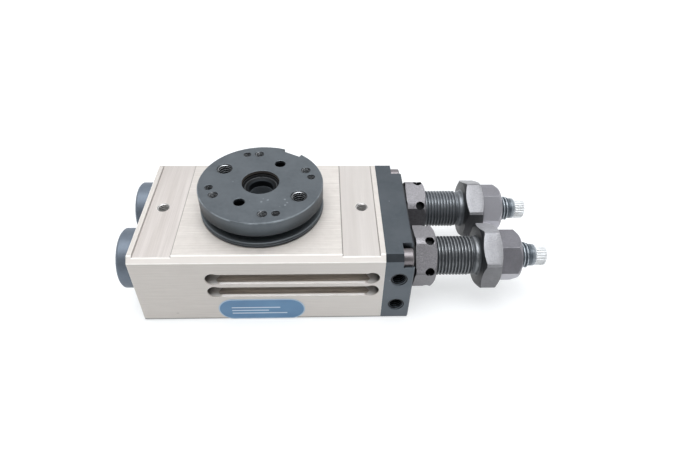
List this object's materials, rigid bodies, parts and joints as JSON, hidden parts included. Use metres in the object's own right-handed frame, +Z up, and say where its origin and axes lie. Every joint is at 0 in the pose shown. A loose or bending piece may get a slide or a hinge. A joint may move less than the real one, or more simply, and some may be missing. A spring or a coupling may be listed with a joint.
{
  "type": "rotary pneumatic actuator",
  "caption": "Compact twin-rack pneumatic swivel unit: air drives a hollow turntable between adjustable end stops with built-in shock absorbers.",
  "frame": {"origin": "on the turntable axis, at the underside of the housing", "axes": "+Z up out of the turntable, +X along the cylinders towards the shock absorbers, -Y towards the side with the sensor slots and air ports"},
  "size_m": [0.128, 0.0454, 0.0356],
  "materials": {
    "anodised_housing": "satin champagne anodise",
    "dark_anodise": "matte blue-grey hard anodise",
    "dark_cap": "satin blue-grey anodise",
    "label_blue": "printed film, plain",
    "seal_rubber": "matte black",
    "screw_steel": "satin",
    "bearing_steel": "ground",
    "spring_steel": "satin",
    "magnet": "bonded magnet, dark grey",
    "guide_plastic": "filled polymer, tan",
    "burnished_steel": "grey-brown burnished, fine grain",
    "blackened_steel": "blue-black oxide",
    "bright_knob": "bright nickel"
  },
  "bodies": {
    "housing": {"housing": "anodised_housing", "front_cylinder_cap": "dark_cap", "rear_cylinder_cap": "dark_cap", "cap_seals": "seal_rubber", "end_plate": "dark_anodise", "end_plate_seals": "seal_rubber", "end_plate_screws": "screw_steel", "name_label": "label_blue", "upper_bearing_outer_ring": "bearing_steel", "lower_bearing_outer_ring": "bearing_steel", "bearing_retainer": "screw_steel", "retainer_screws": "screw_steel", "bottom_cover": "dark_cap", "cover_circlip": "spring_steel", "stop_seal_washers": "seal_rubber"},
    "turntable": {"turntable": "dark_anodise", "pinion_shaft": "bearing_steel", "table_pin": "bearing_steel", "upper_bearing_inner_ring": "bearing_steel", "lower_bearing_inner_ring": "bearing_steel", "shaft_circlip": "spring_steel"},
    "upper_ball_set": {"upper_bearing_balls": "bearing_steel"},
    "lower_ball_set": {"lower_bearing_balls": "bearing_steel"},
    "front_rack": {"front_rack_piston": "bearing_steel", "front_piston_seals": "seal_rubber", "front_guide_rings": "guide_plastic", "position_magnet": "magnet"},
    "rear_rack": {"rear_rack_piston": "bearing_steel", "rear_piston_seals": "seal_rubber", "rear_guide_rings": "guide_plastic"},
    "front_stop": {"front_stop_sleeve": "burnished_steel", "front_absorber_body": "blackened_steel", "front_absorber_nut": "burnished_steel", "front_absorber_gland": "guide_plastic", "front_absorber_spring": "spring_steel"},
    "front_locknut": {"front_stop_locknut": "burnished_steel"},
    "front_knob": {"front_absorber_knob": "bright_knob"},
    "front_rod": {"front_absorber_rod": "bearing_steel"},
    "rear_stop": {"rear_stop_sleeve": "burnished_steel", "rear_absorber_body": "blackened_steel", "rear_absorber_nut": "burnished_steel", "rear_absorber_gland": "guide_plastic", "rear_absorber_spring": "spring_steel"},
    "rear_locknut": {"rear_stop_locknut": "burnished_steel"},
    "rear_knob": {"rear_absorber_knob": "bright_knob"},
    "rear_rod": {"rear_absorber_rod": "bearing_steel"}
  },
  "joints": [
    {"name": "turntable_swivel", "type": "hinge", "parent": "housing", "child": "turntable", "pos_m": [0, 0, 0.0239], "axis": [0, 0, 1], "range_deg": [-60, 120]},
    {"name": "upper_balls_roll", "type": "hinge", "parent": "housing", "child": "upper_ball_set", "pos_m": [0, 0, 0.0239], "axis": [0, 0, 1], "range_deg": [-26.9, 53.3]},
    {"name": "lower_balls_roll", "type": "hinge", "parent": "housing", "child": "lower_ball_set", "pos_m": [0, 0, 0.0071], "axis": [0, 0, 1], "range_deg": [-26.71, 52.92]},
    {"name": "front_rack_slide", "type": "slide", "parent": "housing", "child": "front_rack", "axis": [1, 0, 0], "range_m": [-0.00672, 0.01342]},
    {"name": "rear_rack_slide", "type": "slide", "parent": "housing", "child": "rear_rack", "axis": [1, 0, 0], "range_m": [-0.01342, 0.00672]},
    {"name": "front_stop_adjust", "type": "slide", "parent": "housing", "child": "front_stop", "axis": [1, 0, 0], "range_m": [0, 0.003]},
    {"name": "front_locknut_backoff", "type": "slide", "parent": "housing", "child": "front_locknut", "axis": [1, 0, 0], "range_m": [0, 0.001]},
    {"name": "front_absorber_stroke", "type": "slide", "parent": "front_stop", "child": "front_rod", "axis": [1, 0, 0], "range_m": [-0.00168, 0.00334], "deforming": ["front_absorber_spring"]},
    {"name": "front_damping_adjust", "type": "hinge", "parent": "front_stop", "child": "front_knob", "pos_m": [0.085, -0.01115, 0.01553], "axis": [1, 0, 0], "range_deg": [0, 330]},
    {"name": "rear_stop_adjust", "type": "slide", "parent": "housing", "child": "rear_stop", "axis": [1, 0, 0], "range_m": [0, 0.003]},
    {"name": "rear_locknut_backoff", "type": "slide", "parent": "housing", "child": "rear_locknut", "axis": [1, 0, 0], "range_m": [0, 0.001]},
    {"name": "rear_absorber_stroke", "type": "slide", "parent": "rear_stop", "child": "rear_rod", "axis": [1, 0, 0], "range_m": [-0.00334, 0.00168], "deforming": ["rear_absorber_spring"]},
    {"name": "rear_damping_adjust", "type": "hinge", "parent": "rear_stop", "child": "rear_knob", "pos_m": [0.085, 0.01115, 0.01553], "axis": [1, 0, 0], "range_deg": [0, 330]}
  ],
  "couplings": [
    {"joint": "upper_balls_roll", "follows": "turntable_swivel", "ratio": 0.44},
    {"joint": "lower_balls_roll", "follows": "turntable_swivel", "ratio": 0.4368},
    {"joint": "front_rack_slide", "follows": "turntable_swivel", "m_per_rad": 0.0064},
    {"joint": "rear_rack_slide", "follows": "turntable_swivel", "m_per_rad": -0.0064},
    {"joint": "front_absorber_stroke", "follows": "turntable_swivel", "m_per_rad": 0.0015915},
    {"joint": "rear_absorber_stroke", "follows": "turntable_swivel", "m_per_rad": -0.0015915}
  ]
}
